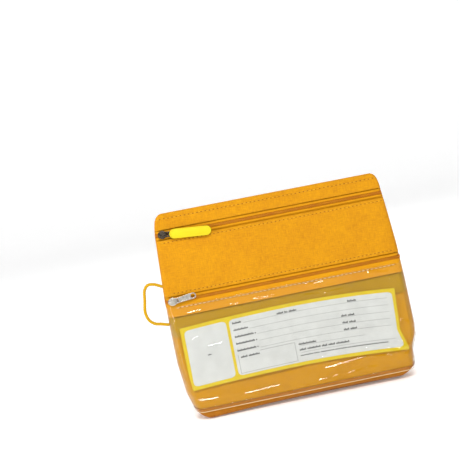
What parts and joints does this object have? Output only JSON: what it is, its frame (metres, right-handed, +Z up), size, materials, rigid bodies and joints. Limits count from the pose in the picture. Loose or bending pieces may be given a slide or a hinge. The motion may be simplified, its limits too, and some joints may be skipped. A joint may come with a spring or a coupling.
{
  "type": "first aid kit",
  "caption": "Canvas zip pouch with a boxed bottom, a white cross, a clear zipped card pocket, a side loop, and first aid contents.",
  "frame": {"origin": "middle of the flat bottom, at the height of its underside", "axes": "+Z up, -Y out of the zip face, +Y out of the cross face, +X to the right as the zip face is seen"},
  "size_m": [0.2509, 0.041, 0.2],
  "materials": {
    "canvas": "woven orange polyester canvas, matt",
    "zip_tape": "woven orange zip tape",
    "zip_coil": "orange nylon coil",
    "nickel": "nickel plated zinc",
    "gunmetal": "dark plated zinc",
    "yellow_plastic": "moulded bright yellow plastic",
    "elastic": "braided yellow elastic",
    "clear_pvc": "clear flexible film with a gloss surface",
    "facing": "coated olive yellow facing strip",
    "card_stock": "printed card, white with a yellow border",
    "white_film": "white printed film",
    "steel": "stainless steel",
    "crepe": "crepe bandage",
    "gauze": "white woven gauze",
    "core_card": "wound card core",
    "paper": "paper dressing wrapper",
    "plaster_card": "printed carton",
    "foil": "foil sachet",
    "blanket_foil": "folded metallised film"
  },
  "bodies": {
    "pouch": {"back_panel": "canvas", "divider_panel": "canvas", "bottom_gusset": "canvas", "cross_emblem": "white_film", "pocket_facing": "facing", "left_seam_binding": "zip_tape", "right_seam_binding": "zip_tape", "top_seam_binding": "zip_tape", "pocket_zip_upper_tape": "zip_tape", "pocket_zip_upper_coil": "zip_coil", "bandage_roll": "crepe", "gauze_roll": "gauze", "adhesive_tape": "gauze", "tape_core": "core_card", "gauze_pad_1": "paper", "gauze_pad_2": "paper", "plaster_box": "plaster_card", "wipe_sachet_1": "foil", "wipe_sachet_2": "foil", "foil_blanket": "blanket_foil", "scissors_fixed_half": "steel", "scissors_rivet": "steel", "tweezers_fixed_arm": "steel"},
    "header_flap": {"header_strip": "canvas", "main_zip_upper_tape": "zip_tape", "main_zip_upper_coil": "zip_coil"},
    "front_flap": {"front_panel": "canvas", "main_zip_lower_tape": "zip_tape", "main_zip_lower_coil": "zip_coil"},
    "pocket_front": {"clear_pocket": "clear_pvc", "pocket_zip_lower_tape": "zip_tape", "pocket_zip_lower_coil": "zip_coil"},
    "card": {"info_card": "card_stock"},
    "main_slider": {"main_slider": "gunmetal"},
    "main_pull": {"main_pull_link": "gunmetal", "main_pull_grip": "yellow_plastic"},
    "pocket_slider": {"pocket_slider": "nickel"},
    "pocket_pull": {"pocket_pull": "nickel"},
    "loop": {"side_loop": "elastic"},
    "scissors_moving_half": {"scissors_moving_half": "steel"},
    "tweezers_moving_arm": {"tweezers_moving_arm": "steel"}
  },
  "joints": [
    {"name": "main_slider_travel", "type": "slide", "parent": "pouch", "child": "main_slider", "axis": [1, 0, 0], "range_m": [0, 0.208]},
    {"name": "header_flap_lift", "type": "hinge", "parent": "pouch", "child": "header_flap", "pos_m": [0, -0.0013, 0.19995], "axis": [-1, 0, 0], "range_deg": [0, 58], "deforming": ["header_strip", "main_zip_upper_tape", "main_zip_upper_coil"]},
    {"name": "front_flap_fold", "type": "hinge", "parent": "pouch", "child": "front_flap", "pos_m": [0, -0.00875, 0.121], "axis": [1, 0, 0], "range_deg": [0, 30], "deforming": ["front_panel", "main_zip_lower_tape", "main_zip_lower_coil"]},
    {"name": "main_pull_swing", "type": "hinge", "parent": "main_slider", "child": "main_pull", "pos_m": [-0.104, -0.00632, 0.18035], "axis": [0, 0.099, 0.9951], "range_deg": [-175, 0]},
    {"name": "pocket_slider_travel", "type": "slide", "parent": "pouch", "child": "pocket_slider", "axis": [1, 0, 0], "range_m": [0, 0.2115]},
    {"name": "pocket_front_fold", "type": "hinge", "parent": "pouch", "child": "pocket_front", "pos_m": [0, -0.02, 0.01195], "axis": [1, 0, 0], "range_deg": [0, 9], "deforming": ["clear_pocket", "pocket_zip_lower_tape", "pocket_zip_lower_coil"]},
    {"name": "pocket_pull_swing", "type": "hinge", "parent": "pocket_slider", "child": "pocket_pull", "pos_m": [-0.1065, -0.01265, 0.11667], "axis": [0, 0.099, 0.9951], "range_deg": [-170, 0]},
    {"name": "card_shift", "type": "slide", "parent": "pouch", "child": "card", "axis": [0, 0.099, 0.9951], "range_m": [-0.006, 0.015]},
    {"name": "loop_swing", "type": "hinge", "parent": "pouch", "child": "loop", "pos_m": [-0.116, 0, 0.0945], "axis": [0, 0, 1], "range_deg": [-55, 55], "stiffness_Nm_per_rad": 0.001},
    {"name": "scissors_open", "type": "hinge", "parent": "pouch", "child": "scissors_moving_half", "pos_m": [-0.018, 0.01179, 0.07739], "axis": [0, -0.9951, -0.099], "range_deg": [0, 48]},
    {"name": "tweezers_pinch", "type": "hinge", "parent": "pouch", "child": "tweezers_moving_arm", "pos_m": [0.062, 0.00678, 0.10955], "axis": [0, 0.9951, 0.099], "range_deg": [0, 4], "stiffness_Nm_per_rad": 0.3}
  ],
  "couplings": [
    {"joint": "header_flap_lift", "follows": "main_slider_travel", "rad_per_m": 4.8663},
    {"joint": "front_flap_fold", "follows": "main_slider_travel", "rad_per_m": 2.5171},
    {"joint": "pocket_front_fold", "follows": "pocket_slider_travel", "rad_per_m": 0.7426}
  ]
}
